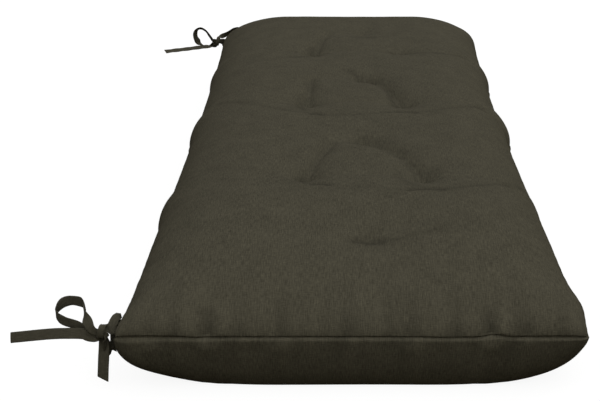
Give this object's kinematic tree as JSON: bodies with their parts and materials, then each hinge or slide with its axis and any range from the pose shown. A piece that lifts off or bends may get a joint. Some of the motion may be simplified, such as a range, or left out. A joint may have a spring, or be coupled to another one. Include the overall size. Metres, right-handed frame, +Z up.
{
  "type": "bench cushion",
  "caption": "Long plump bench cushion with a knife-edge seam, threaded tufts in staggered rows, and bows of flat tape at the corners of one long side.",
  "frame": {"origin": "middle of the flat underside, on the surface that the cushion lies on", "axes": "+X across the cushion, away from the long side that has the ties; +Y along it, from the front short end to the back one; +Z up, out of the tufted face"},
  "size_m": [0.6311, 1.2157, 0.158],
  "materials": {
    "cushion_fabric": "matt plain weave with fine slubs, olive grey",
    "tie_tape": "flat tape sewn of the same cloth"
  },
  "bodies": {
    "root": {"cushion": "cushion_fabric", "front_tie_wrap": "tie_tape", "front_tie_loop": "tie_tape", "back_tie_wrap": "tie_tape", "back_tie_loop": "tie_tape"}
  },
  "joints": []
}
